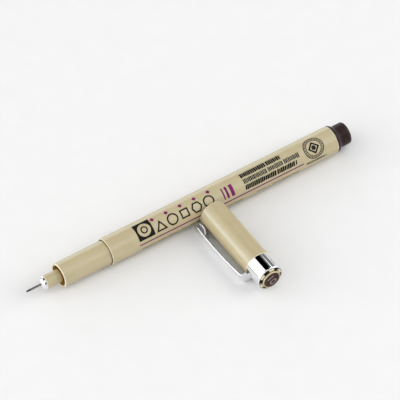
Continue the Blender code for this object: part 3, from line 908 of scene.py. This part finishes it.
def clip_line():
    """(station, radius) points along the middle of the clip's sheet, from the tongue to the return."""
    corners = [(TONGUE_END, TONGUE_R), (NECK_ROOT, TONGUE_R, NECK_BEND), (*SHOULDER, SHOULDER_BEND)]
    corners.append((ARM_START, arm_radius(ARM_START)))
    line = [Vector(point[:2]) for point in soften(corners, closed=False)]
    for i in range(1, ARM_PIECES + 1):
        station = ARM_START + (ARM_END - ARM_START) * i / ARM_PIECES
        line.append(Vector((station, arm_radius(station))))
    centre = line[-1] - Vector((0.0, FOLD_R))
    for i in range(1, FOLD_PIECES + 1):
        turn = math.pi / 2 + FOLD_TURN * i / FOLD_PIECES
        line.append(centre + Vector((math.cos(turn), math.sin(turn))) * FOLD_R)
    fold_end = line[-1]
    pull, tip = Vector(RETURN_PULL), Vector(RETURN_TIP)
    for i in range(1, RETURN_PIECES + 1):
        part = i / RETURN_PIECES
        line.append(fold_end * (1 - part) ** 2 + pull * 2 * part * (1 - part) + tip * part ** 2)
    return line


def clip_half_width(station, radius, in_return):
    """Half the sheet's width: narrow in the tongue and the return, and drawn in round the fold."""
    full = RETURN_WIDTH if in_return else CLIP_WIDTH
    if station > NECK_START and radius < TONGUE_R + NECK_RISE:
        full = TONGUE_WIDTH
    inward = min(1.0, max(0.0, 1.0 - (station - ARM_END + FOLD_R) / FOLD_TAPER_LENGTH))
    return full / 2 * math.sqrt(1.0 - FOLD_TAPER * inward ** 2)


def sheet_section(half):
    """(side, lift) outline across the clip's sheet: two slightly crowned faces with rounded edges between."""
    flat = half - SHEET_EDGE
    rise = SHEET / 2 - SHEET_EDGE
    outline = []
    for corner, (side, up) in enumerate(((1, 1), (-1, 1), (-1, -1), (1, -1))):
        for step in range(ARC_STEPS + 1):
            turn = math.pi / 2 * (corner + step / ARC_STEPS)
            across = side * flat + SHEET_EDGE * math.cos(turn)
            outline.append((across, up * rise + SHEET_EDGE * math.sin(turn)))
        if side == up:
            outline += [(side * flat * share, up * SHEET / 2) for share in FACE_SHARES]
    return [(side, lift + CLIP_CROWN * (0.5 - (side / half) ** 2)) for side, lift in outline]


def make_clip(materials):
    """The clip: the sheet's section swept along its line."""
    line = clip_line()
    last = len(line) - 1
    bm = bmesh.new()
    rings = []
    for i, (station, radius) in enumerate(line):
        run = (line[min(i + 1, last)] - line[max(i - 1, 0)]).normalized()
        ring = []
        for side, lift in sheet_section(clip_half_width(station, radius, i > last - RETURN_PIECES)):
            point = Vector((radius - run.x * lift, side, station + run.y * lift)) * MM
            ring.append(bm.verts.new(CAP @ point))
        rings.append(ring)
    for a, b in zip(rings, rings[1:]):
        for j in range(len(a)):
            k = (j + 1) % len(a)
            bm.faces.new((a[j], a[k], b[k], b[j]))
    bm.faces.new(rings[0])
    bm.faces.new(rings[-1])
    mesh = finish_mesh("clip_strip", bm, CLIP_SHARP_DEGREES)
    add_piece("clip_strip", mesh, materials["clip_chrome"], "clip", ["clip"])


# ---------------------------------------------------------------- print


def ngon(station, height, radius, sides, turn=0.0):
    """A regular polygon's corners."""
    angles = [turn + 2 * math.pi * i / sides for i in range(sides)]
    return [(station + radius * math.cos(a), height + radius * math.sin(a)) for a in angles]


def ring(station, height, radius, sides, stroke, turn=0.0):
    """Outer and inner outline of a polygon drawn with a line."""
    inner = radius - stroke / math.cos(math.pi / sides)
    return [ngon(station, height, radius, sides, turn), ngon(station, height, inner, sides, turn)]


def bar(station, height, width, tall, slant=0.0):
    """An upright bar, centred on a point, that leans by slant at its top."""
    x, y = width / 2, tall / 2
    return [
        (station - x - slant / 2, height - y),
        (station + x - slant / 2, height - y),
        (station + x + slant / 2, height + y),
        (station - x + slant / 2, height + y),
    ]


def stroke_row(start, end, height, tall, width, gap, slant, dice):
    """A row of short strokes in groups, with the look of a line of print and no letters in it."""
    strokes = []
    station = start
    left = dice.randint(*GROUP_STROKES)
    while station + width < end:
        wide = width * dice.uniform(*WIDTH_SHARES)
        short = dice.choice(HEIGHT_SHARES)
        strokes.append(bar(station + wide / 2, height, wide, tall * short, slant))
        station += wide + gap * dice.uniform(*GAP_SHARES)
        left -= 1
        if left == 0:
            station += GROUP_GAP * gap
            left = dice.randint(*GROUP_STROKES)
    return strokes


def flat_ink(name, outlines):
    """Ink of these outlines as a flat slab, in millimetres."""
    curve = bpy.data.curves.new(name, "CURVE")
    curve.dimensions = "2D"
    curve.fill_mode = "BOTH"
    curve.extrude = (INK_ABOVE + INK_BELOW) / 2
    for outline in outlines:
        spline = curve.splines.new("POLY")
        spline.points.add(len(outline) - 1)
        for point, (x, y) in zip(spline.points, outline):
            point.co = (x, y, 0.0, 1.0)
        spline.use_cyclic_u = True
    flat = bpy.data.objects.new(name, curve)
    bpy.context.scene.collection.objects.link(flat)
    graph = bpy.context.evaluated_depsgraph_get()
    mesh = bpy.data.meshes.new_from_object(flat.evaluated_get(graph))
    bpy.data.objects.remove(flat)
    bm = bmesh.new()
    bm.from_mesh(mesh)
    bpy.data.meshes.remove(mesh)
    bmesh.ops.remove_doubles(bm, verts=bm.verts, dist=INK_WELD)
    return bm


def add_print(name, outlines, material, body, matrix, radius=None):
    """A piece of ink, wrapped round a cylinder or, with no radius, laid on the plane of the matrix."""
    bm = flat_ink(name, outlines)
    if radius:
        lowest = min(vertex.co.y for vertex in bm.verts)
        highest = max(vertex.co.y for vertex in bm.verts)
        for i in range(1, int((highest - lowest) / WRAP_STEP) + 1):
            geometry = bm.verts[:] + bm.edges[:] + bm.faces[:]
            cut = {"plane_co": (0.0, lowest + i * WRAP_STEP, 0.0), "plane_no": (0, 1, 0)}
            bmesh.ops.bisect_plane(bm, geom=geometry, dist=INK_CUT_PLAY, **cut)
    middle = (INK_ABOVE - INK_BELOW) / 2
    for vertex in bm.verts:
        x, y, z = vertex.co
        if radius:
            turn = -y / radius
            reach = radius + z + middle
            point = Vector((reach * math.cos(turn), reach * math.sin(turn), x))
        else:
            point = Vector((x, y, z + middle))
        vertex.co = matrix @ (point * MM)
    add_piece(name, finish_mesh(name, bm, INK_SHARP_DEGREES), material, body)


def seal_outlines(dice):
    """A round dial with ticks, a diamond in the middle, and a row of strokes below."""
    outlines = ring(*SEAL_AT, SEAL_DIAMOND, 4, SEAL_DIAMOND_STROKE)
    outlines.append(ngon(*SEAL_AT, SEAL_DOT, ROUND_SIDES))
    for radius, stroke in SEAL_RINGS:
        outlines += ring(*SEAL_AT, radius, SEAL_SIDES, stroke)
    inner, outer = SEAL_TICK
    for turn in even_angles(SEAL_TICKS):
        out = Vector((math.cos(turn), math.sin(turn)))
        side = Vector((-out.y, out.x)) * SEAL_TICK_HALF_WIDTH
        ends = (out * inner - side, out * outer - side, out * outer + side, out * inner + side)
        outlines.append([tuple(Vector(SEAL_AT) + corner) for corner in ends])
    return outlines + stroke_row(*SEAL_ROW, dice)


def make_barrel_print(materials):
    """Generic marks where a maker's print would be."""
    dice = random.Random(DICE_SEED)

    # A square with a pale disc in it, and a dark ring in that.
    black = [bar(*EMBLEM_AT, EMBLEM_SIDE, EMBLEM_SIDE), ngon(*EMBLEM_AT, EMBLEM_DISC, ROUND_SIDES)]
    black += ring(*EMBLEM_AT, EMBLEM_RING, ROUND_SIDES, EMBLEM_STROKE)
    # A row of plain figures, with a row of small diamonds above it.
    purple = []
    for i, (sides, turn, size, height) in enumerate(FIGURES):
        black += ring(FIGURE_START + FIGURE_STEP * i, height, size, sides, FIGURE_STROKE, turn)
        purple.append(ngon(DIAMOND_START + DIAMOND_STEP * i, DIAMOND_HEIGHT, DIAMOND_R, 4))
    # Three bars of rising weight, and the long rule.
    for station, width in BARS:
        purple.append(bar(station, BARS_HEIGHT, width, BARS_TALL))
    purple.append(bar(*RULE_AT, RULE_LENGTH, RULE_STROKE))
    # Three rows of strokes, small print under the rule, and the seal.
    for row in STROKE_ROWS:
        black += stroke_row(*row, dice)
    for start, end in SMALL_PRINT:
        black += stroke_row(start, end, *SMALL_STYLE, dice)
    purple += stroke_row(*PURPLE_PRINT, *SMALL_STYLE, dice)
    black += seal_outlines(dice)
    radius = pen_span("barrel")[2]
    add_print("print_black", black, materials["black_ink"], "pen", PEN, radius)
    add_print("print_purple", purple, materials["purple_ink"], "pen", PEN, radius)


def make_disc_print(materials):
    """A long hexagon and a short bar on the crown's disc."""
    face = cap_span("colour_disc")[1] - DISC_DISH
    turn = Matrix.Rotation(DISC_MARK_TURN, 4, "Z")
    plane = CAP @ Matrix.Translation(Vector((0, 0, face * MM))) @ turn
    half_x, half_y = DISC_HEXAGON_HALF
    outlines = [bar(*DISC_BAR)]
    for size in DISC_HEXAGON_SIZES:
        corners = ngon(0.0, 0.0, size, 6, math.pi / 6)
        outlines.append([(DISC_HEXAGON_X + half_x * x, half_y * y) for x, y in corners])
    add_print("disc_mark", outlines, materials["pale_ink"], "cap", plane)


# ---------------------------------------------------------------- stage


def direction(azimuth, elevation):
    """Unit vector at an azimuth from +X and an elevation, in radians."""
    level = math.cos(elevation)
    return Vector((level * math.cos(azimuth), level * math.sin(azimuth), math.sin(elevation)))


def make_camera():
    back = direction(VIEW_AZIMUTH - math.pi / 2, VIEW_ELEVATION)
    aim = Vector((TIP_X + AIM_FROM_TIP, PEN_Y + AIM_BEYOND_PEN, 0.0))
    data = bpy.data.cameras.new("camera")
    data.sensor_width = SENSOR
    data.lens = VIEW_LENS
    data.clip_start = CLIP_NEAR
    data.clip_end = CLIP_FAR
    camera = bpy.data.objects.new("camera", data)
    camera.location = aim + back * VIEW_DISTANCE
    camera.rotation_mode = "QUATERNION"
    camera.rotation_quaternion = (-back).to_track_quat("-Z", "Y")
    bpy.context.scene.collection.objects.link(camera)
    bpy.context.scene.camera = camera


def softbox(name, azimuth, elevation, width, tall, radiance):
    """An area light that faces the object. Azimuth, elevation, width and height are angles in degrees."""
    azimuth = math.radians(azimuth)
    out = direction(azimuth, math.radians(elevation))
    across = Vector((-math.sin(azimuth), math.cos(azimuth), 0.0))
    matrix = Matrix((across, out.cross(across), out)).transposed().to_4x4()
    matrix.translation = out * LIGHT_DISTANCE
    data = bpy.data.lights.new(name, "AREA")
    data.shape = "RECTANGLE"
    data.size = 2 * LIGHT_DISTANCE * math.tan(math.radians(width / 2))
    data.size_y = 2 * LIGHT_DISTANCE * math.tan(math.radians(tall / 2))
    data.energy = radiance * math.pi * data.size * data.size_y
    light = bpy.data.objects.new(name, data)
    light.matrix_world = matrix
    bpy.context.scene.collection.objects.link(light)


def make_room():
    """A dark room with a bright band just above the horizon, which fades as it rises."""
    world = bpy.data.worlds.new("room")
    world.use_nodes = True
    tree = world.node_tree
    place = make_node(tree, "TexCoord").outputs["Generated"]
    rise = make_node(tree, "SeparateXYZ", Vector=place).outputs["Z"]
    ramp = make_node(tree, "ValToRGB", Fac=rise)
    stops = ramp.color_ramp.elements
    stops[0].position, stops[0].color = 0.0, (1.0, 1.0, 1.0, 1.0)
    stops[1].position, stops[1].color = 1.0, (0.0, 0.0, 0.0, 1.0)
    for height, strength in ROOM_STOPS:
        stop = stops.new(height)
        stop.color = (strength, strength, strength, 1.0)
    background = tree.nodes["Background"]
    tree.links.new(ramp.outputs["Color"], background.inputs["Color"])
    background.inputs["Strength"].default_value = ROOM_STRENGTH
    bpy.context.scene.world = world


def make_stage(materials):
    """A pale floor, a dim room and soft studio lights."""
    bm = bmesh.new()
    bmesh.ops.create_grid(bm, x_segments=1, y_segments=1, size=FLOOR_HALF)
    mesh = bpy.data.meshes.new("floor")
    bm.to_mesh(mesh)
    bm.free()
    mesh.materials.append(materials["floor"])
    floor = bpy.data.objects.new("floor", mesh)
    bpy.context.scene.collection.objects.link(floor)
    make_room()
    for light in SOFTBOXES:
        softbox(*light)
    bpy.context.scene.view_settings.view_transform = "Standard"


# ---------------------------------------------------------------- the whole


INSIDE_NODES = (("feed_wick", "ink_fibre"), ("ink_reservoir", "ink_fibre"), ("reservoir_wrap", "wrap_film"))
MAKERS = (
    make_stage,
    make_tip,
    make_holder,
    make_section,
    make_barrel,
    make_plug,
    make_shell,
    make_liner,
    make_band,
    make_crown,
    make_clip,
    make_barrel_print,
    make_disc_print,
)


def main():
    materials = make_materials()
    make_camera()
    for make in MAKERS:
        make(materials)
    for node, name in INSIDE_NODES:
        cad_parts[node].data.materials[0] = materials[name]


main()
